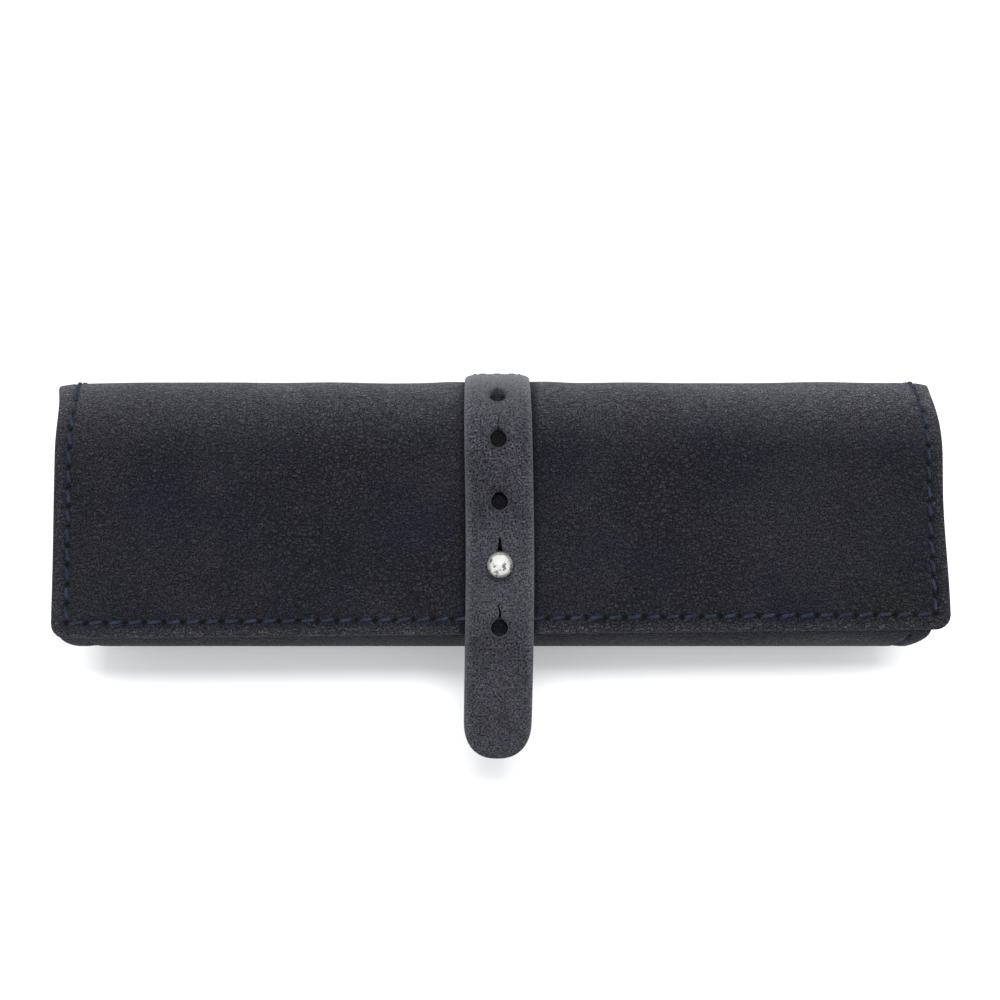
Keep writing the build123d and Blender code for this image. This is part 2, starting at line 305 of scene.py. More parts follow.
# ---- Meshes ----
def new_piece(name, vertices, faces, material, pattern=None, marks=None):
    """A smooth-shaded object from points in mm, with its pattern points and marks kept."""
    mesh = bpy.data.meshes.new(name)
    mesh.from_pydata((np.asarray(vertices) * MM).tolist(), [], faces)
    mesh.validate()
    mesh.polygons.foreach_set("use_smooth", [True] * len(mesh.polygons))
    for key, values in (("pattern", pattern), ("marks", marks)):
        if values is not None:
            attribute = mesh.attributes.new(key, "FLOAT_VECTOR", "POINT")
            attribute.data.foreach_set("vector", np.asarray(values, np.float32).ravel())
    mesh.materials.append(material)
    mesh.update()
    piece = bpy.data.objects.new(name, mesh)
    bpy.context.scene.collection.objects.link(piece)
    return piece


pit_spread = 0.45


def grid_lines(low, high, step, special):
    """Lines from low to high about a step apart, with one on and two beside each special place."""
    fixed = [low, high]
    for place in special:
        fixed += [place - pit_spread, place, place + pit_spread]
    fixed = sorted(set(round(value, 4) for value in fixed if low <= value <= high))
    kept = [fixed[0]]
    for value in fixed[1:]:
        if value - kept[-1] > 0.4 * pit_spread:
            kept.append(value)
    lines = [kept[0]]
    for value in kept[1:]:
        count = max(1, round((value - lines[-1]) / step))
        lines += np.linspace(lines[-1], value, count + 1)[1:].tolist()
    return np.array(lines)


def grid_faces(rows, columns):
    """Faces of a grid of points that are numbered row by row."""
    corner = np.arange(rows * columns).reshape(rows, columns)[:-1, :-1].ravel()
    return np.stack([corner, corner + 1, corner + columns + 1, corner + columns], axis=-1)


def grid_pattern(x_lines, along_lines):
    """Pattern points and faces of a plain grid."""
    x, along = np.meshgrid(x_lines, along_lines)
    return np.stack([x.ravel(), along.ravel()], axis=-1), grid_faces(len(along_lines), len(x_lines))


def tube_faces(rings, sides, first=0):
    """Faces of a closed tube of rings of points, with both its caps."""
    faces = []
    for here in range(first, first + (rings - 1) * sides, sides):
        for side in range(sides):
            beside = (side + 1) % sides
            faces.append((here + side, here + beside, here + sides + beside, here + sides + side))
    start_cap = range(first, first + sides)
    faces.append(tuple(reversed(start_cap)))
    faces.append(tuple(index + (rings - 1) * sides for index in start_cap))
    return faces


def without_loose_points(pattern, faces):
    """The same sheet without the points that no face uses."""
    used = np.unique(faces)
    new_index = np.zeros(len(pattern), int)
    new_index[used] = np.arange(len(used))
    return pattern[used], new_index[faces]


def joined(parts):
    """Several sets of (points, faces, pattern) as one set."""
    points, faces, pattern = zip(*parts)
    firsts = np.cumsum([0] + [len(part) for part in points])
    shifted = [
        tuple(index + first for index in face)
        for first, part in zip(firsts, faces)
        for face in part
    ]
    return np.concatenate(points), shifted, np.concatenate(pattern)


def round_corners(pattern, half, end, radius):
    """Narrows a grid near its far end, so that its two corners there are round."""
    over = np.clip(pattern[:, 1] - (end - radius), 0, radius)
    narrowed = radius - np.sqrt(np.maximum(radius**2 - over**2, 0))
    share = smooth_step(np.abs(pattern[:, 0]), half - 4 * radius, half)
    rounded = pattern.copy()
    rounded[:, 0] -= np.sign(pattern[:, 0]) * share * narrowed
    return rounded


def cut_round_hole(pattern, faces, centre, radius):
    """Takes out the faces inside a circle and moves the rim's points onto it."""
    offset = pattern[faces].mean(axis=1) - centre
    inside = length_of(offset) < radius
    kept = faces[~inside]
    rim = np.intersect1d(np.unique(faces[inside]), np.unique(kept))
    reach = pattern[rim] - centre
    moved = pattern.copy()
    moved[rim] = centre + reach * (radius / length_of(reach))[:, None]
    return without_loose_points(moved, kept)


def boundary_edges(faces):
    """Directed edges (from, to) that only one face has."""
    turned = np.roll(faces, -1, axis=1)
    ends = np.stack([faces.T.ravel(), turned.T.ravel()], axis=-1)
    size = faces.max() + 1
    there = ends[:, 0] * size + ends[:, 1]
    back = ends[:, 1] * size + ends[:, 0]
    return ends[~np.isin(there, back)]


def edge_steps(thickness, radius):
    """Steps over a cut edge from the outer face to the inner: (how far out, how deep)."""
    upper = [
        (radius * math.sin(math.radians(turn)), radius * (1 - math.cos(math.radians(turn))))
        for turn in (30, 60, 90)
    ]
    return upper + [(out, thickness - down) for out, down in reversed(upper)]


def thick_piece(
    name, flat, place, depths, edge_radius, material, relief=None, marks=None, edge_scale=None
):
    """A sheet of leather with rounded cut edges, from its flat pattern.

    relief gives how far each point of the outer face is pressed in. marks gives each point's darkening
    and paleness: painted shade in the needle holes, beside and under the strap and under the flap,
    darker rims round the strap's holes, and wear that also stands for painted sheen and light. The
    piece's "marks" attribute is (cut edge, needle hole and painted shade, wear and painted light)."""
    pattern, faces = flat
    count = len(pattern)
    thickness = depths[1] - depths[0]
    pressed = np.zeros(count) if relief is None else relief(pattern)
    point_marks = np.zeros((count, 3))
    if marks is not None:
        point_marks[:, 1:] = marks(pattern)
    edges = boundary_edges(faces)
    rim = np.unique(edges)
    rim_index = np.zeros(count, int)
    rim_index[rim] = np.arange(len(rim))
    run = pattern[edges[:, 1]] - pattern[edges[:, 0]]
    sideways = np.stack([run[:, 1], -run[:, 0]], axis=-1)
    sideways /= length_of(sideways)[:, None]
    outwards = np.zeros((len(rim), 2))
    for end in (0, 1):
        np.add.at(outwards, rim_index[edges[:, end]], sideways)
    outwards /= length_of(outwards)[:, None] + 1e-9
    if edge_scale is not None:
        outwards *= edge_scale(pattern[rim])[:, None]

    points = [place(pattern[:, 0], pattern[:, 1], depths[0] + pressed)]
    points.append(place(pattern[:, 0], pattern[:, 1], np.full(count, depths[1])))
    flat_points = [pattern, pattern]
    all_marks = [point_marks, np.zeros((count, 3))]
    steps = edge_steps(thickness, edge_radius)
    for number, (out, down) in enumerate(steps):
        ring = pattern[rim] + outwards * out
        share = 1 - (number + 1) / (len(steps) + 1)
        depth = depths[0] + down + pressed[rim] * share
        points.append(place(ring[:, 0], ring[:, 1], depth))
        flat_points.append(ring + outwards * down)
        ring_marks = point_marks[rim].copy()
        ring_marks[:, 0] = min(1, 0.5 * (number + 1))
        all_marks.append(ring_marks)

    levels = [edges] + [rim_index[edges] + 2 * count + len(rim) * k for k in range(len(steps))]
    levels.append(edges + count)
    quads = []
    for upper, lower in zip(levels[:-1], levels[1:]):
        quads.append(np.stack([upper[:, 0], upper[:, 1], lower[:, 1], lower[:, 0]], axis=-1))
    all_faces = faces[:, ::-1].tolist() + (faces + count).tolist() + np.concatenate(quads).tolist()
    flat_points = np.concatenate(flat_points)
    layer = np.full((len(flat_points), 1), depths[0])
    return new_piece(
        name,
        np.concatenate(points),
        all_faces,
        material,
        np.hstack([flat_points, layer]),
        np.concatenate(all_marks),
    )


# ---- Stitches ----
ply_count = 3
ply_radius = 0.23
ply_offset = 0.24
ply_turns = 1.3
stitch_rings = 15
ply_sides = 7
stitch_sink = 0.75
stitch_gap = 0.14
stitch_slant = 0.2
stitch_slant_spread = 0.06
thread_shift = 7.0


def stitch_shape():
    """One stitch of twisted thread: share of its length, across and out for each point, and faces."""
    points = []
    faces = []
    for ply in range(ply_count):
        first = len(points)
        for ring in range(stitch_rings):
            share = ring / (stitch_rings - 1)
            bow = abs(2 * share - 1)
            turn = 2 * math.pi * (ply_turns * share + ply / ply_count)
            narrowing = 1 - 0.35 * bow**4
            across = ply_offset * narrowing * math.cos(turn)
            out = ply_offset * narrowing * math.sin(turn) - stitch_sink * bow**5
            for side in range(ply_sides):
                around = 2 * math.pi * side / ply_sides
                points.append((
                    share,
                    across + ply_radius * narrowing * math.cos(around),
                    out + ply_radius * narrowing * math.sin(around),
                ))
        faces += tube_faces(stitch_rings, ply_sides, first)
    return np.array(points), faces


stitch_points, stitch_faces = stitch_shape()


def stitches(holes, place, depth, outwards=1):
    """Points, faces and pattern of stitches from needle hole to needle hole, at this depth."""
    parts = []
    for start, end in zip(holes[:-1], holes[1:]):
        run = end - start
        length = math.hypot(*run)
        sideways = np.array([run[1], -run[0]]) / length
        slant = stitch_slant + stitch_slant_spread * random.standard_normal()
        share = stitch_gap + (1 - 2 * stitch_gap) * stitch_points[:, 0]
        across = stitch_points[:, 1] + slant * (2 * stitch_points[:, 0] - 1)
        pattern = start + share[:, None] * run + across[:, None] * sideways
        points = place(pattern[:, 0], pattern[:, 1], depth - outwards * stitch_points[:, 2])
        thread_along = stitch_points[:, 0] * length + thread_shift * (len(parts) + 1)
        parts.append((points, stitch_faces, np.stack([thread_along, across, share], axis=-1)))
    return joined(parts)


def stitch_piece(name, rows, material):
    """One object from several rows of stitches."""
    points, faces, pattern = joined(rows)
    return new_piece(name, points, faces, material, pattern)


def needle_holes(start, end):
    """Needle holes evenly spaced from one pattern point to another."""
    count = round(math.dist(start, end) / stitch_pitch)
    return np.linspace(start, end, count + 1)


flap_side_stitches = 16
needle_hole_width = 0.62
flap_seam_x = half_width - flap_seam_inset
flap_seam_end = flap_end - flap_seam_inset
flap_side_start = flap_seam_end - flap_side_stitches * stitch_pitch
body_seam_x = half_width - body_seam_inset
body_seam_start = 2.4
spine_seam_start = 1.5
spine_seam_end = crease_along - 2.0
base_seam_x = 93.0
front_base_along = front_end - base_seam_offset
flap_front_holes = needle_holes((-flap_seam_x, flap_seam_end), (flap_seam_x, flap_seam_end))
flap_side_holes = {}
front_side_holes = {}
spine_side_holes = {}
for side in (-1, 1):
    flap_x = side * flap_seam_x
    body_x = side * body_seam_x
    flap_side_holes[side] = needle_holes((flap_x, flap_side_start), (flap_x, flap_seam_end))
    front_side_holes[side] = needle_holes((body_x, body_seam_start), (body_x, front_end - 1))
    spine_side_holes[side] = needle_holes((body_x, spine_seam_start), (body_x, spine_seam_end))
flap_seam_holes = (flap_side_holes[-1], flap_front_holes, flap_side_holes[1])
front_base_holes = needle_holes((-base_seam_x, front_base_along), (base_seam_x, front_base_along))
wrap_base_holes = needle_holes((-base_seam_x, base_seam_offset), (base_seam_x, base_seam_offset))


def row_relief(pattern, holes, trough, trough_width, pit_depth):
    """How far a row of stitches presses the leather in, and how dark its needle holes are."""
    pressed = trough * bell(from_line(pattern, holes[0], holes[-1]), trough_width)
    pits = np.zeros(len(pattern))
    for hole in holes:
        pits = np.maximum(pits, bell(length_of(pattern - hole), needle_hole_width))
    return pressed + pit_depth * pits, pits


def all_relief(pattern, rows):
    """The deepest press and the darkest hole of several rows at each pattern point."""
    pressed = np.zeros(len(pattern))
    pits = np.zeros(len(pattern))
    for row in rows:
        row_pressed, row_pits = row_relief(pattern, *row)
        pressed = np.maximum(pressed, row_pressed)
        pits = np.maximum(pits, row_pits)
    return pressed, pits


# ---- Materials ----
class Shader:
    """A material's node tree, with short ways to add and join its nodes."""

    def __init__(self, name):
        self.material = bpy.data.materials.new(name)
        self.material.use_nodes = True
        self.nodes = self.material.node_tree.nodes
        self.links = self.material.node_tree.links
        self.surface = next(node for node in self.nodes if node.type == "BSDF_PRINCIPLED")

    def node(self, kind, inputs):
        """A new node, with each of its inputs joined to a socket or set to a value."""
        node = self.nodes.new("ShaderNode" + kind)
        for key, value in inputs.items():
            if isinstance(value, bpy.types.NodeSocket):
                self.links.new(value, node.inputs[key])
            else:
                node.inputs[key].default_value = value
        return node

    def attribute(self, name):
        node = self.node("Attribute", {})
        node.attribute_name = name
        return node.outputs["Vector"]

    def parts(self, vector):
        return self.node("SeparateXYZ", {0: vector}).outputs

    def stretch(self, vector, scale, turn=0.0):
        inputs = {"Vector": vector, "Scale": scale, "Rotation": (0, 0, math.radians(turn))}
        return self.node("Mapping", inputs).outputs["Vector"]

    def noise(self, vector, scale, detail=4.0, roughness=0.6, distortion=0.0):
        inputs = {"Vector": vector, "Scale": scale, "Detail": detail}
        inputs |= {"Roughness": roughness, "Distortion": distortion}
        return self.node("TexNoise", inputs).outputs[0]

    def cells(self, vector, scale):
        """Distance to the nearest wall between cells."""
        node = self.node("TexVoronoi", {"Vector": vector, "Scale": scale})
        node.feature = "DISTANCE_TO_EDGE"
        return node.outputs["Distance"]

    def between(self, value, from_low, from_high, to_low=0.0, to_high=1.0):
        """The value, mapped from one range to the other and kept inside it."""
        inputs = {0: value, 1: from_low, 2: from_high, 3: to_low, 4: to_high}
        return self.node("MapRange", inputs).outputs[0]

    def math(self, operation, first, second):
        node = self.node("Math", {0: first, 1: second})
        node.operation = operation
        return node.outputs[0]

    def product(self, first, second):
        return self.math("MULTIPLY", first, second)

    def faded(self, value, strength):
        """The value where the strength is 1, and 1 where the strength is 0."""
        return self.math("SUBTRACT", 1.0, self.product(self.math("SUBTRACT", 1.0, value), strength))

    def mix(self, factor, first, second):
        """A blend of two colours: the first at factor 0, the second at 1."""
        colours = [(*value, 1.0) if isinstance(value, tuple) else value for value in (first, second)]
        node = self.node("Mix", {0: factor, 6: colours[0], 7: colours[1]})
        node.data_type = "RGBA"
        return node.outputs[2]

    def scaled(self, colour, factor):
        node = self.node("VectorMath", {0: colour})
        node.operation = "SCALE"
        self.links.new(factor, node.inputs["Scale"])
        return node.outputs[0]

    def distorted(self, vector, scale, amount):
        """The same vector, shifted by a little noise."""
        noise = self.node("TexNoise", {"Vector": vector, "Scale": scale})
        shift = {0: noise.outputs["Color"], 1: (amount, amount, 0), 2: vector}
        node = self.node("VectorMath", shift)
        node.operation = "MULTIPLY_ADD"
        return node.outputs[0]

    def bump(self, height, distance):
        node = self.node("Bump", {"Strength": 1.0, "Distance": distance * MM, "Height": height})
        self.links.new(node.outputs["Normal"], self.surface.inputs["Normal"])

    def colour(self, socket):
        self.links.new(socket, self.surface.inputs["Base Color"])

    def set(self, **values):
        for key, value in values.items():
            self.surface.inputs[key.replace("_", " ")].default_value = value


def nubuck_material():
    """Dark nubuck: soft patches, fine fibres and pebble grain with painted shade in its creases; pale
    worn bends and edges, which also stand for painted sheen and light; and painted shade in the needle
    holes, beside and under the strap and under the flap.
    """
    shader = Shader("nubuck_leather")
    pattern = shader.attribute("pattern")
    edge, hole, wear = shader.parts(shader.attribute("marks"))
    patches = shader.noise(pattern, 0.045, 3.0, 0.55)
    green_patches = shader.noise(shader.stretch(pattern, (1.0, 0.6, 1.0), 25), 0.03, 2.0)
    blue = (0.0090, 0.0090, 0.0172)
    brown = (0.0142, 0.0134, 0.0170)
    green = (0.0112, 0.0122, 0.0136)
    colour = shader.mix(shader.between(patches, 0.38, 0.62), blue, brown)
    colour = shader.mix(shader.between(green_patches, 0.45, 0.7), colour, green)
    pale_worn_and_lit = (0.074, 0.075, 0.086)
    worn_patches = shader.between(shader.noise(pattern, 0.12, 4.0), 0.3, 0.7, 0.75, 1.2)
    # Pale worn leather; the same paleness stands for painted sheen round the spine, painted light on
    # the right end and a painted highlight along the flap's lip.
    colour = shader.mix(shader.product(wear, worn_patches), colour, pale_worn_and_lit)
    mottle = shader.noise(shader.stretch(pattern, (0.7, 1.3, 1.0), 28), 0.75, 4.0, 0.65)
    fibres = shader.noise(pattern, 2.6, 1.5, 0.5)
    tone = shader.product(
        shader.between(fibres, 0.30, 0.70, -0.3, 2.3),
        shader.between(mottle, 0.3, 0.7, 0.62, 1.40),
    )
    colour = shader.scaled(colour, tone)
    colour = shader.mix(shader.product(edge, 0.55), colour, (0.055, 0.054, 0.060))
    # Near black: painted shade in the needle holes, beside and under the strap and under the flap.
    colour = shader.mix(shader.between(hole, 0.22, 0.65), colour, (0.0010, 0.0010, 0.0018))
    bent = shader.distorted(pattern, 0.35, 2.2)
    pebbles = shader.between(shader.cells(shader.stretch(bent, (0.8, 1.2, 1.0), 35), 0.9), 0.0, 0.17)
    wrinkles = shader.between(shader.cells(shader.stretch(bent, (0.35, 1.5, 1.0), 18), 0.7), 0.0, 0.12)
    grain_patches = shader.between(shader.noise(pattern, 0.035, 2.0), 0.40, 0.62, 0.45, 1.0)
    near_bend = shader.between(wear, 0.02, 0.35, 0.15, 0.85)
    grain = shader.product(shader.faded(pebbles, grain_patches), shader.faded(wrinkles, near_bend))
    height = shader.math("ADD", shader.product(grain, 0.75), shader.product(fibres, 0.55))
    # Painted shade: darker in the creases of the pebble grain and in the wrinkles.
    crease_shade = shader.between(grain, 0.0, 1.0, 0.28, 1.06)
    shader.colour(shader.scaled(colour, crease_shade))
    shader.bump(height, 0.48)
    shader.set(Roughness=0.8, Specular_IOR_Level=0.12)
    shader.set(Sheen_Weight=0.06, Sheen_Roughness=0.4, Sheen_Tint=(0.8, 0.82, 0.9, 1.0))
    return shader.material


def lining_material():
    """Smooth dark lining leather with a faint pore grain."""
    shader = Shader("lining_leather")
    pattern = shader.attribute("pattern")
    edge = shader.parts(shader.attribute("marks"))[0]
    patches = shader.noise(pattern, 0.06, 3.0)
    pores = shader.cells(shader.distorted(pattern, 0.9, 0.5), 1.5)
    dark = (0.020, 0.020, 0.025)
    pale = (0.030, 0.029, 0.033)
    colour = shader.mix(shader.between(patches, 0.35, 0.65), dark, pale)
    colour = shader.scaled(colour, shader.between(pores, 0.0, 0.15, 0.7, 1.05))
    colour = shader.mix(shader.product(edge, 0.5), colour, (0.060, 0.055, 0.055))
    shader.colour(colour)
    shader.bump(shader.between(pores, 0.0, 0.2), 0.06)
    shader.set(Roughness=0.6, Specular_IOR_Level=0.3)
    return shader.material


def suede_material():
    """Grey suede of the strap: raised fibres in clumps, and paler cut edges."""
    shader = Shader("strap_suede")
    pattern = shader.attribute("pattern")
    edge, hole, wear = shader.parts(shader.attribute("marks"))
    clumps = shader.noise(pattern, 0.8, 4.0, 0.75, 0.4)
    fibres = shader.noise(pattern, 2.3, 1.8, 0.5)
    patches = shader.noise(pattern, 0.09, 3.0)
    dark = (0.0175, 0.0170, 0.0228)
    pale = (0.0275, 0.0266, 0.0350)
    colour = shader.mix(shader.between(patches, 0.35, 0.65), dark, pale)
    nap = shader.product(
        shader.between(fibres, 0.30, 0.70, -0.25, 2.3),
        shader.between(clumps, 0.32, 0.68, 0.52, 1.50),
    )
    colour = shader.scaled(colour, nap)
    # Pale rubbed suede, which also stands for painted sheen where the strap turns over the spine.
    rubbed_and_lit = shader.mix(clumps, (0.090, 0.092, 0.102), (0.128, 0.130, 0.142))
    rubbed_and_lit = shader.scaled(rubbed_and_lit, shader.between(fibres, 0.30, 0.70, 0.55, 1.5))
    colour = shader.mix(wear, colour, rubbed_and_lit)
    colour = shader.mix(shader.product(edge, 0.5), colour, (0.070, 0.078, 0.082))
    colour = shader.mix(hole, colour, (0.008, 0.008, 0.011))
    shader.colour(colour)
    shader.bump(shader.math("ADD", fibres, shader.product(clumps, 0.8)), 0.2)
    shader.set(Roughness=0.92, Specular_IOR_Level=0.12)
    shader.set(Sheen_Weight=0.08, Sheen_Roughness=0.5, Sheen_Tint=(0.85, 0.86, 0.92, 1.0))
    return shader.material


def position_of(shader):
    """Object coordinates in mm, for pieces that have no pattern."""
    node = shader.nodes.new("ShaderNodeTexCoord")
    return shader.stretch(node.outputs["Object"], (1 / MM, 1 / MM, 1 / MM))


def nickel_material():
    """Polished nickel with faint tarnish and fine turning marks."""
    shader = Shader("nickel")
    place = position_of(shader)
    tarnish = shader.noise(place, 0.5, 4.0, 0.6)
    marks = shader.noise(shader.stretch(place, (0.4, 0.4, 6.0)), 1.2, 3.0)
    colour = shader.mix(shader.between(tarnish, 0.35, 0.7), (0.80, 0.79, 0.75), (0.60, 0.59, 0.55))
    stains = shader.between(shader.noise(place, 0.75, 3.0, 0.7), 0.53, 0.60)
    shader.colour(shader.mix(stains, colour, (0.16, 0.16, 0.15)))
    shader.links.new(shader.between(tarnish, 0.3, 0.7, 0.08, 0.20), shader.surface.inputs["Roughness"])
    shader.bump(shader.math("ADD", marks, shader.product(tarnish, 3.0)), 0.05)
    shader.set(Metallic=0.7)
    return shader.material


def thread_material():
    """Waxed navy thread: fine fibres along the twist."""
    shader = Shader("waxed_thread")
    pattern = shader.attribute("pattern")
    fibres = shader.noise(shader.stretch(pattern, (0.6, 6.0, 6.0), 20), 2.5, 4.0, 0.7)
    fade = shader.noise(pattern, 0.25, 2.0)
    navy = (0.0068, 0.0105, 0.0235)
    faded = (0.0180, 0.0260, 0.0500)
    colour = shader.mix(shader.between(fade, 0.35, 0.65), navy, faded)
    colour = shader.scaled(colour, shader.between(fibres, 0.3, 0.7, 0.45, 1.8))
    shader.colour(colour)
    shader.bump(fibres, 0.05)
    shader.set(Roughness=0.6, Specular_IOR_Level=0.2)
    return shader.material


nubuck = nubuck_material()
lining = lining_material()
suede = suede_material()
nickel = nickel_material()
thread = thread_material()

# ---- Wrap: the one hide that forms the base, the spine and the flap ----
panel_edge_radius = 0.5
lining_edge_radius = 0.35
# Each trough under a row of stitches: depth, width, and the depth of its needle holes.
flap_trough = (0.2, 0.9, 0.45)
body_trough = (0.42, 0.9, 0.4)
base_trough = (0.6, 0.9, 0.4)
root_trough = (0.25, 0.9, 0.5)
edge_roll = 0.22
edge_roll_width = 2.2
wrap_step = 0.95
lining_step = 1.6
# Wear pales the leather, from 0 to 1. The same paleness stands for painted sheen round the spine,
# painted light on the right end and on the fold's right end, and a painted highlight along the flap's
# lip. The leather kept from wear is darker: painted shade beside and under the strap and under the
# flap, with unworn leather under them.
spine_wear_and_sheen = 0.72
top_wear_and_sheen = 0.36
right_end_light = 0.42
left_end_shade = 0.12
wrap_edge_wear = 0.20
flap_lip_wear_and_highlight = 0.30
strap_shade_and_unworn_dark = 0.53
fold_wear = 0.07
fold_right_light = 0.28
front_edge_wear = 0.15
under_flap_shade = 0.36
front_lining_end = front_end + lining_butt_y - outer_butt_y
flap_rows = [(holes, *flap_trough) for holes in flap_seam_holes]
wrap_rows = flap_rows + [(spine_side_holes[side], *base_trough) for side in (-1, 1)]
wrap_rows.append((wrap_base_holes, *base_trough))


def wrap_relief(pattern):
    """Seams, and the soft roll of the flap's cut edge."""
    to_side = half_width - np.abs(pattern[:, 0])
    to_edge = np.minimum(to_side, flap_end - pattern[:, 1])
    on_flap = smooth_step(pattern[:, 1], base_length, spine_along)
    roll = edge_roll * (1 - smooth_step(to_edge, 0, edge_roll_width)) * on_flap
    return all_relief(pattern, wrap_rows)[0] + roll


def wrap_marks(pattern):
    """Painted shade in the needle holes and beside and under the strap; wear with painted sheen round
    the spine, paler on the right end and darker on the left as painted light; and wear along the free
    edges, with a painted highlight along the flap's lip.
    """
    x, along = pattern.T
    # Wear and painted sheen round the spine.
    bend = spine_wear_and_sheen * bell(along - spine_along - 5, 6.5)
    bend = bend + top_wear_and_sheen * smooth_step(-along, -top_along, 18 - top_along)
    # Painted light: the spine's pale band is paler towards the right end and darker towards the left.
    right = 1 + right_end_light * smooth_step(x, 20, 90) - left_end_shade * smooth_step(-x, 20, 90)
    edge = wrap_edge_wear * (1 - smooth_step(half_width - np.abs(x), 0.6, 3.4))
    # Wear with a painted highlight along the flap's lip.
    lip = flap_lip_wear_and_highlight * smooth_step(along, flap_seam_end + 0.9, flap_end - 0.8)
    # Painted shadow beside the strap, wider on the left, with darker unworn leather under the strap.
    beside_strap = strap_half_width + np.where(x < 0, 3.2, 2.0)
    under_strap = 1 - smooth_step(np.abs(x), strap_half_width + 0.2, beside_strap)
    under_strap = under_strap * smooth_step(along, strap_start, strap_start + 3)
    wear = (bend * right + edge + lip) * (1 - under_strap)
    dark = np.maximum(all_relief(pattern, wrap_rows)[1], strap_shade_and_unworn_dark * under_strap)
    return np.stack([dark, wear], axis=-1)


def wrap_flat(start, step, inset, special_x=(), special_along=()):
    """Flat pattern of the wrap, with round flap corners and the stud's hole."""
    x_lines = grid_lines(-half_width + inset, half_width - inset, step, special_x)
    along_lines = grid_lines(start + inset, flap_end - inset, step, special_along)
    radius = flap_corner_radius
    corner = flap_end - inset - radius + radius * np.sin(np.radians([0, 20, 38, 54, 68, 80, 90]))
    along_lines = np.concatenate([along_lines[along_lines < corner[0] - 0.2], corner])
    pattern, faces = grid_pattern(x_lines, along_lines)
    pattern = round_corners(pattern, half_width - inset, flap_end - inset, radius)
    stud_hole = np.array([0, top_along + stud_along])
    return cut_round_hole(pattern, faces, stud_hole, flap_stud_hole_radius + inset)


front_hole_x = [x for x, along in flap_front_holes]
side_hole_along = [along for x, along in flap_side_holes[1]]
spine_hole_along = [along for x, along in spine_side_holes[1]]
wrap_outer = thick_piece(
    "wrap_outer",
    wrap_flat(
        0,
        wrap_step,
        panel_edge_radius,
        front_hole_x + [-body_seam_x, body_seam_x],
        side_hole_along + spine_hole_along + [base_seam_offset, flap_seam_end],
    ),
    wrap_place,
    (0, outer_thickness),
    panel_edge_radius,
    nubuck,
    wrap_relief,
    wrap_marks,
)
wrap_lining = thick_piece(
    "wrap_lining",
    wrap_flat(lining_butt_y - outer_butt_y, lining_step, lining_edge_radius),
    wrap_place,
    (outer_thickness, leather_thickness),
    lining_edge_radius,
    lining,
)

# ---- Front panel and its lining, from the mouth round the fold to the base seam ----
front_rows = [(front_side_holes[side], *body_trough) for side in (-1, 1)]
front_rows.append((front_base_holes, *base_trough))


def front_flat(length, step, inset, special_x=(), special_along=()):
    """Flat pattern of the front panel."""
    x_lines = grid_lines(-half_width + inset, half_width - inset, step, special_x)
    along_lines = grid_lines(inset, length - inset, step, special_along)
    return grid_pattern(x_lines, along_lines)


def front_relief(pattern):
    return all_relief(pattern, front_rows)[0]


def front_marks(pattern):
    """Painted shade in the needle holes and under the flap, and wear round the fold and at the ends,
    with painted light towards the fold's right end.
    """
    x, along = pattern.T
    fold_middle = fold_along - mouth_along + fold_length / 2
    # Wear round the fold, with painted light towards its right end.
    wear = (fold_wear + fold_right_light * smooth_step(x, 40, 95)) * bell(along - fold_middle + 8, 14)
    wear = wear + front_edge_wear * (1 - smooth_step(half_width - np.abs(x), 0.5, 3.0))
    # Painted shade under the flap, where the leather is also unworn.
    under_flap = smooth_step(-along, -fold_along - 12, -fold_along - 9)
    dark = np.maximum(all_relief(pattern, front_rows)[1], under_flap_shade * under_flap)
    return np.stack([dark, wear * (1 - under_flap)], axis=-1)


front_side_along = [along for x, along in front_side_holes[1]]
front_outer = thick_piece(
    "front_outer",
    front_flat(
        front_end,
        wrap_step,
        panel_edge_radius,
        [x for x, along in front_base_holes] + [-body_seam_x, body_seam_x],
        front_side_along + [front_base_along],
    ),
    front_place,
    (0, outer_thickness),
    panel_edge_radius,
    nubuck,
    front_relief,
    front_marks,
)
front_lining = thick_piece(
    "front_inner",
    front_flat(front_lining_end, lining_step, lining_edge_radius),
    front_place,
    (outer_thickness, leather_thickness),
    lining_edge_radius,
    lining,
)


# ---- Strap ----
def strap_along(distance):
    """Where a place on the strap lies, from its distance past the spine's end of the top."""
    middle_radius = spine_upper_radius + strap_gap + strap_thickness / 2
    return top_along + (distance if distance >= 0 else distance * spine_upper_radius / middle_radius)


strap_step = 0.75
strap_edge_radius = 0.45
hole_edge_radius = 0.3
tail_length = 9.6
tail_bluntness = 2.35
hole_hollow = 0.22
hole_rim_dark = 0.5
strap_spine_wear_and_sheen = 0.68
strap_top_wear_and_sheen = 0.2
strap_tail_wear = 0.14
strap_tip_wear = 0.06
strap_edge_wear = 0.2
# Each button hole: distance from the stud's hole to the spine, slit length, width and jog.
button_holes = [
    (-strap_hole_pitch, 4.2, 0.75, 0.45),
    (0.0, 4.7, 1.65, 0.0),
    (strap_hole_pitch, 3.4, 0.16, 0.1),
    (2 * strap_hole_pitch, 3.8, 0.34, -0.2),
    (2 * strap_hole_pitch + root_hole_pitch, 3.0, 0.12, 0.0),
]


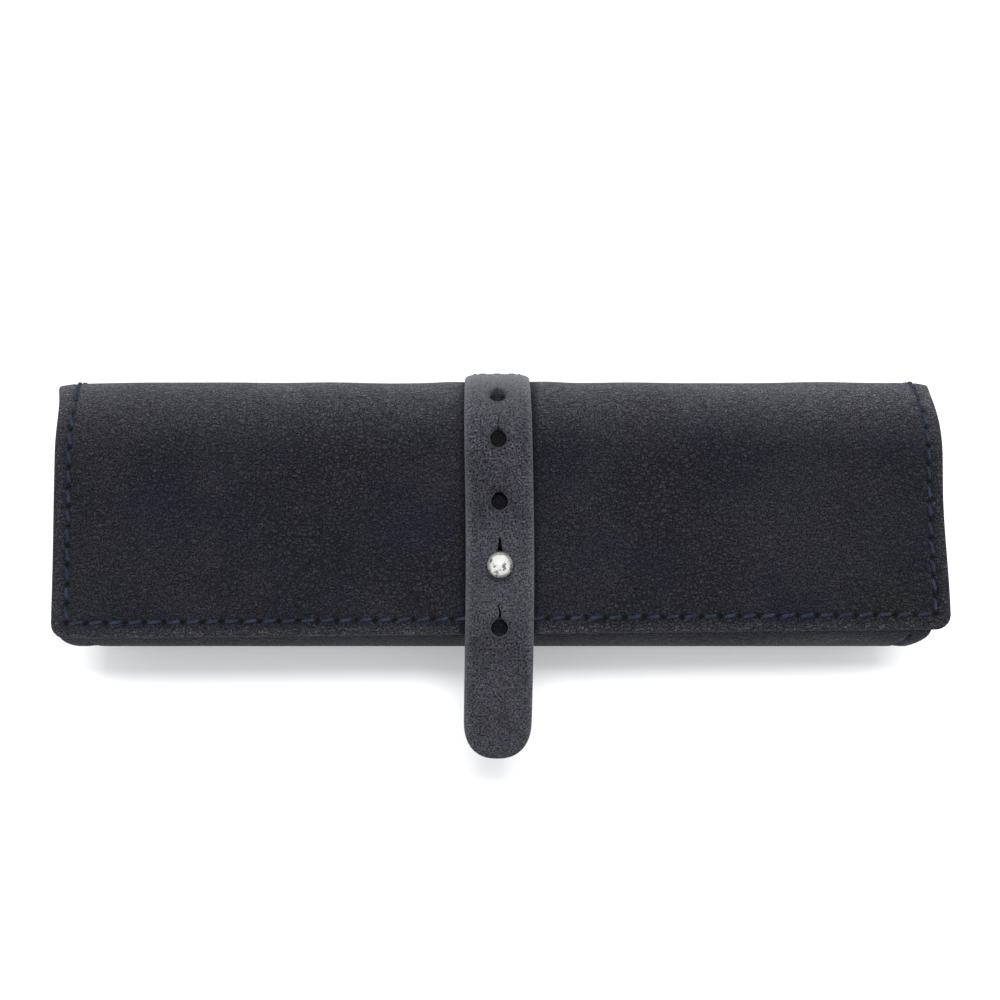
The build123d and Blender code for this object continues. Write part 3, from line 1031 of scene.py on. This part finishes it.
def button_hole_outline(centre, slit, width, jog):
    """A round hole with a slit towards the spine, as pattern points in order."""
    radius = strap_hole_radius + hole_edge_radius
    opening = math.asin(width / 2 / radius)
    turns = np.linspace(-math.pi / 2 + opening, 1.5 * math.pi - opening, 33)
    outline = [(radius * math.cos(turn), centre + radius * math.sin(turn)) for turn in turns]
    root = centre - radius * math.cos(opening)
    shares = np.linspace(0, 1, 9)[1:]
    bends = jog * np.sin(2.2 * math.pi * shares) * shares
    halves = width / 2 * (1 - shares) ** 0.8
    left = list(zip(bends - halves, root - slit * shares))
    right = list(zip(bends + halves, root - slit * shares))
    return outline + left + right[-2::-1]


def inside_outline(points, outline):
    """Which points lie inside a closed outline."""
    outline = np.asarray(outline)
    inside = np.zeros(len(points), bool)
    for (x0, a0), (x1, a1) in zip(outline, np.roll(outline, -1, axis=0)):
        if a0 == a1:
            continue
        crosses = (points[:, 1] < a0) != (points[:, 1] < a1)
        where = x0 + (points[:, 1] - a0) * (x1 - x0) / (a1 - a0)
        inside ^= crosses & (points[:, 0] < where)
    return inside


def strap_outline():
    """The strap's cut outline: square at the root, blunt and round at the tail."""
    half = strap_half_width - strap_edge_radius
    start = strap_start + strap_edge_radius
    end = strap_end - strap_edge_radius
    power = 2 / tail_bluntness
    tail_start = end - tail_length
    sides = np.arange(start + 1.2, tail_start, 0.8)
    tail = []
    for turn in np.linspace(0, math.pi, 37):
        across = math.copysign(abs(math.cos(turn)) ** power, math.cos(turn))
        tail.append((half * across, tail_start + tail_length * math.sin(turn) ** power))
    right = [(half, value) for value in sides]
    left = [(-half, value) for value in reversed(sides)]
    root = [(value, start) for value in np.linspace(-half + 1.2, half - 1.2, 16)]
    return right + tail + left + root


def outline_sheet(outline, holes, spacing):
    """Flat pattern of triangles inside an outline and outside its holes."""
    outline = np.asarray(outline)
    low = outline.min(axis=0)
    high = outline.max(axis=0)
    rows = np.arange(low[1] + spacing / 2, high[1], spacing * math.sqrt(0.75))
    inner = []
    for number, row in enumerate(rows):
        shift = spacing / 2 * (number % 2)
        inner += [(value, row) for value in np.arange(low[0] + shift, high[0], spacing)]
    inner = np.array(inner)
    loops = [outline] + [np.asarray(hole) for hole in holes]
    keep = inside_outline(inner, outline)
    for loop in loops:
        for start, end in zip(loop, np.roll(loop, -1, axis=0)):
            keep &= from_line(inner, start, end) > 0.45 * spacing
    for hole in loops[1:]:
        keep &= ~inside_outline(inner, hole)
    points = np.concatenate(loops + [inner[keep]])
    edges = []
    first = 0
    for loop in loops:
        edges += [(first + k, first + (k + 1) % len(loop)) for k in range(len(loop))]
        first += len(loop)
    result = delaunay_2d_cdt([Vector(point) for point in points], edges, [], 0, 1e-5)
    pattern = np.array([tuple(point) for point in result[0]])
    faces = np.array(result[2])
    middle = pattern[faces].mean(axis=1)
    shown = inside_outline(middle, outline)
    for hole in loops[1:]:
        shown &= ~inside_outline(middle, hole)
    faces = faces[shown]
    first_side = pattern[faces[:, 1]] - pattern[faces[:, 0]]
    second_side = pattern[faces[:, 2]] - pattern[faces[:, 0]]
    turned = first_side[:, 0] * second_side[:, 1] - first_side[:, 1] * second_side[:, 0] < 0
    faces[turned] = faces[turned][:, ::-1]
    return without_loose_points(pattern, faces)


hole_centres = [strap_along(stud_along - hole[0]) for hole in button_holes]
hole_outlines = [
    button_hole_outline(centre, *hole[1:]) for centre, hole in zip(hole_centres, button_holes)
]
root_seam_low = spine_along + spine_lower_radius * math.radians(root_seam_angles[0])
root_seam_high = spine_along + spine_upper_radius * math.radians(root_seam_angles[1])
root_seam_x = strap_half_width - root_seam_inset
root_corners = [
    (-root_seam_x, root_seam_low),
    (root_seam_x, root_seam_low),
    (root_seam_x, root_seam_high),
    (-root_seam_x, root_seam_high),
]
root_rows_holes = [
    np.linspace(root_corners[corner - 1], root_corners[corner], count + 1)
    for corner, count in ((1, 3), (2, 2), (3, 3), (0, 2))
]


def strap_relief(pattern):
    """Seam at the root, and soft hollows round the holes."""
    pressed = all_relief(pattern, [(holes, *root_trough) for holes in root_rows_holes])[0]
    for centre in hole_centres:
        from_rim = length_of(pattern - (0, centre)) - strap_hole_radius
        pressed = pressed + hole_hollow * bell(from_rim, 1.0)
    return pressed


def strap_marks(pattern):
    """Wear along the edges, wear with painted sheen where the strap turns over the spine, and darker
    rims round the holes.
    """
    x, along = pattern.T
    # Wear and painted sheen round the spine: the strap's top end is painted paler.
    wear = strap_spine_wear_and_sheen * bell(along - spine_along - 4, 9)
    wear = wear + strap_top_wear_and_sheen * smooth_step(-along, -top_along, 18 - top_along)
    wear = wear + strap_tail_wear * bell(along - flap_end + 12, 12)
    wear = wear + strap_tip_wear * smooth_step(along, flap_end, flap_end + 10)
    wear = wear + strap_edge_wear * (1 - smooth_step(strap_half_width - np.abs(x), 0.5, 1.6))
    rim = np.zeros(len(pattern))
    for centre in hole_centres:
        from_rim = length_of(pattern - (0, centre)) - strap_hole_radius
        rim = np.maximum(rim, hole_rim_dark * bell(from_rim, 0.5))
    return np.stack([rim, wear], axis=-1)


def slit_scale(pattern):
    """Cut edges are rounded less inside the narrow slits than round the holes."""
    scale = np.ones(len(pattern))
    for centre, hole in zip(hole_centres, button_holes):
        in_slit = (np.abs(pattern[:, 0]) < 1.2) & (pattern[:, 1] < centre - strap_hole_radius)
        in_slit &= pattern[:, 1] > centre - strap_hole_radius - hole[1] - 1
        scale[in_slit] = 0.06
    outer = np.abs(pattern[:, 0]) < strap_half_width - 2
    for centre in hole_centres:
        round_hole = outer & (np.abs(pattern[:, 1] - centre) < strap_hole_radius + 1)
        scale[round_hole] = np.minimum(scale[round_hole], hole_edge_radius / strap_edge_radius)
    return scale


strap = thick_piece(
    "strap_leather",
    outline_sheet(strap_outline(), hole_outlines, strap_step),
    strap_place,
    (-strap_top, -strap_gap),
    strap_edge_radius,
    suede,
    strap_relief,
    strap_marks,
    slit_scale,
)

# ---- Seams ----
thread_depth = 0.06
side_thread_depth = 0.5
base_thread_depth = 0.55
root_thread_depth = 0.35
flap_seam_rows = [
    stitches(holes, wrap_place, depth, outwards)
    for depth, outwards in ((thread_depth, 1), (leather_thickness - thread_depth, -1))
    for holes in flap_seam_holes
]
flap_seam = stitch_piece("flap_seam_stitches", flap_seam_rows, thread)


def side_seam(name, side):
    """Stitches down one end of the body: over the front fold, and under the base to the spine."""
    rows = [
        stitches(front_side_holes[side], front_place, side_thread_depth),
        stitches(spine_side_holes[side], wrap_place, base_thread_depth),
    ]
    return stitch_piece(name, rows, thread)


side_seams = {
    "side_seam_thread_left": side_seam("side_seam_stitches_left", -1),
    "side_seam_thread_right": side_seam("side_seam_stitches_right", 1),
}
base_seam = stitch_piece(
    "base_seam_stitches",
    [
        stitches(front_base_holes, front_place, base_thread_depth),
        stitches(wrap_base_holes, wrap_place, base_thread_depth),
    ],
    thread,
)
root_seam = stitch_piece(
    "strap_root_stitches",
    [stitches(holes, strap_place, root_thread_depth - strap_top) for holes in root_rows_holes],
    thread,
)


# ---- Gussets: a wall set in from each end, with a flange turned out and sewn in ----
def gusset(name, side):
    """Wall and flange of one end, as the middle surface of a thin piece of leather."""
    middle = leather_thickness + gusset_thickness / 2
    wall_x = half_width - gusset_recess - gusset_thickness / 2
    turn_x = wall_x + gusset_turn_radius
    profile = [(value, middle) for value in np.linspace(half_width - gusset_edge_inset, turn_x, 7)]
    for turn in np.radians(np.linspace(90, 0, 7))[1:]:
        profile.append((
            turn_x - gusset_turn_radius * math.cos(turn),
            middle + gusset_turn_radius - gusset_turn_radius * math.sin(turn),
        ))
    panels = (
        (front_place, np.linspace(0.5, front_end, 90)),
        (wrap_place, np.linspace(0.8, crease_along - 1.0, 60)),
    )
    loops = [
        np.concatenate([
            place(np.full_like(along, side * x), along, np.full_like(along, depth))
            for place, along in panels
        ])
        for x, depth in profile
    ]
    points = np.concatenate(loops)
    faces = grid_faces(len(loops), len(loops[0])).tolist()
    rim = loops[-1][:, 1:]
    bottom = rim[-1]
    top = rim[0]
    across = top - bottom
    sideways = np.array([across[1], -across[0]]) / math.hypot(*across)
    free_edge = [
        bottom + across * share + sideways * gusset_bow * math.sin(math.pi * share)
        for share in np.linspace(0, 1, 26)[1:-1]
    ]
    outline = np.concatenate([rim, free_edge])
    wall_pattern, wall_faces = outline_sheet(outline, [], 1.6)
    centre = outline.mean(axis=0)
    sag = gusset_sag * bell(length_of(wall_pattern - centre), 14)
    wall_points = np.stack([side * (wall_x - sag), *wall_pattern.T], axis=-1)
    faces += (wall_faces + len(points)).tolist()
    vertices = np.concatenate([points, wall_points])
    piece = new_piece(name, vertices, faces, lining, vertices, np.zeros_like(vertices))
    weld = piece.modifiers.new("weld", "WELD")
    weld.merge_threshold = 0.05 * MM
    thickness = piece.modifiers.new("thickness", "SOLIDIFY")
    thickness.thickness = (gusset_thickness - 0.1) * MM
    thickness.offset = 0
    rounding = piece.modifiers.new("rounding", "SUBSURF")
    rounding.levels = 1
    rounding.render_levels = 1
    return piece


gussets = {
    "gusset_left": gusset("gusset_wall_left", -1),
    "gusset_right": gusset("gusset_wall_right", 1),
}


# ---- Ball stud, and the leather patch under its screw ----
def stud_place(x, y, height):
    """Space points from the stud's own axes: x and y on the front panel's face, and height."""
    origin_y, origin_z = on_top(stud_along, front_depth)
    space_y = origin_y + y * slope_cos + height * slope_sin
    space_z = origin_z - y * slope_sin + height * slope_cos
    return np.stack([x, space_y, space_z], axis=-1)


def lathe(name, profile, sides, material):
    """A turned piece from its profile of (radius, height) points."""
    turns = np.linspace(0, 2 * math.pi, sides, endpoint=False)
    rings = []
    for radius, height in profile:
        rings.append(stud_place(radius * np.cos(turns), radius * np.sin(turns), np.full(sides, height)))
    return new_piece(name, np.concatenate(rings), tube_faces(len(profile), sides), material)


def ball_stud():
    """Flange, waisted neck and ball, turned in one piece, with soft edges."""
    profile = [(0.3, 0.0), (flange_radius - 0.15, 0.0), (flange_radius, 0.15)]
    profile += [(flange_radius, flange_height - 0.2), (flange_radius - 0.2, flange_height)]
    profile += [(neck_radius + 0.5, flange_height), (neck_radius + 0.1, flange_height + 0.35)]
    profile += [(neck_radius, flange_height + 1.0)]
    start = math.degrees(math.asin(neck_radius / ball_radius))
    profile.append((neck_radius, ball_height - ball_radius * math.cos(math.radians(start)) - 0.3))
    for turn in np.linspace(start, 179, 34):
        reach = ball_radius * math.sin(math.radians(turn))
        profile.append((reach, ball_height - ball_radius * math.cos(math.radians(turn))))
    return lathe("ball_stud", profile, 64, nickel)


def disc_outline(radius, count):
    """Points round a circle."""
    turns = np.linspace(0, 2 * math.pi, count, endpoint=False)
    return np.stack([radius * np.cos(turns), radius * np.sin(turns)], axis=-1)


def patch_place(x, y, depth):
    return stud_place(x, y, -leather_thickness - depth)


stud = ball_stud()
stud_patch = thick_piece(
    "stud_patch_leather",
    outline_sheet(disc_outline(patch_radius - 0.3, 60), [disc_outline(1.3, 20)], 0.7),
    patch_place,
    (0, patch_thickness),
    0.3,
    lining,
)
screw = frame["nodes"]["stud_screw"]
screw.data.materials.clear()
screw.data.materials.append(nickel)

# ---- What each piece rides on, and the CAD parts the new pieces replace, hidden ----
flap_hinge = next(joint for joint in frame["joints"] if joint["name"] == "flap_open")
strap_hinge = next(joint for joint in frame["joints"] if joint["name"] == "strap_open")
flap_pivot = Vector(flap_hinge["pos_m"])
strap_pivot = Vector(strap_hinge["pos_m"])

shell_pieces = (front_outer, front_lining, base_seam, stud, stud_patch)
for piece in (*shell_pieces, *side_seams.values(), *gussets.values()):
    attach(piece, "shell")
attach(root_seam, "flap")
for piece in (wrap_outer, wrap_lining, flap_seam):
    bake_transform(piece)
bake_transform(strap)

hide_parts("back_panel", "flap_outer")
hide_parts("back_lining", "flap_lining")
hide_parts("front_panel")
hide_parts("front_lining")
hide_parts("strap", "strap_root")
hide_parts("flap_seam_thread")
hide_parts("base_seam_thread")
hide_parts("strap_root_thread")
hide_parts("stud_head")
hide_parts("stud_patch")
for node, piece in (*side_seams.items(), *gussets.items()):
    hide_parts(node)


# ---- Camera, light and floor ----
def make_camera():
    """Looks straight down from above, with the spine at the top of the picture."""
    camera_height = 293.0
    camera_y = 3.5
    view_angle = 48.5
    camera = bpy.data.objects.new("camera", bpy.data.cameras.new("camera"))
    camera.location = (0, camera_y * MM, camera_height * MM)
    camera.data.angle = math.radians(view_angle)
    camera.data.clip_start = 0.01
    bpy.context.scene.collection.objects.link(camera)
    bpy.context.scene.camera = camera


def softbox(name, direction, distance, width, length, power):
    """A large light that looks at the case from this direction: its width runs along x."""
    light = bpy.data.objects.new(name, bpy.data.lights.new(name, "AREA"))
    light.data.shape = "RECTANGLE"
    light.data.size = width
    light.data.size_y = length
    light.data.energy = power
    towards = Vector(direction).normalized()
    light.location = towards * distance
    light.rotation_euler = towards.to_track_quat("Z", "Y").to_euler()
    bpy.context.scene.collection.objects.link(light)


def make_light():
    world = bpy.data.worlds.new("studio")
    world.use_nodes = True
    background = world.node_tree.nodes["Background"]
    background.inputs["Color"].default_value = (0.96, 0.98, 1.0, 1.0)
    background.inputs["Strength"].default_value = 0.96
    bpy.context.scene.world = world
    softbox("rear_softbox", (0.05, 0.44, 1.0), 0.9, 0.5, 0.16, 7.5)


def make_floor():
    shader = Shader("studio_floor")
    place = position_of(shader)
    haze = shader.noise(place, 0.01, 2.0)
    shader.colour(shader.mix(haze, (0.90, 0.90, 0.90), (0.92, 0.92, 0.92)))
    shader.set(Roughness=0.9)
    reach = 1500.0
    corners = [(-reach, -reach, 0), (reach, -reach, 0), (reach, reach, 0), (-reach, reach, 0)]
    floor = new_piece("studio_floor", corners, [(0, 1, 2, 3)], shader.material)


make_camera()
make_light()
make_floor()
bpy.context.scene.view_settings.view_transform = "Standard"
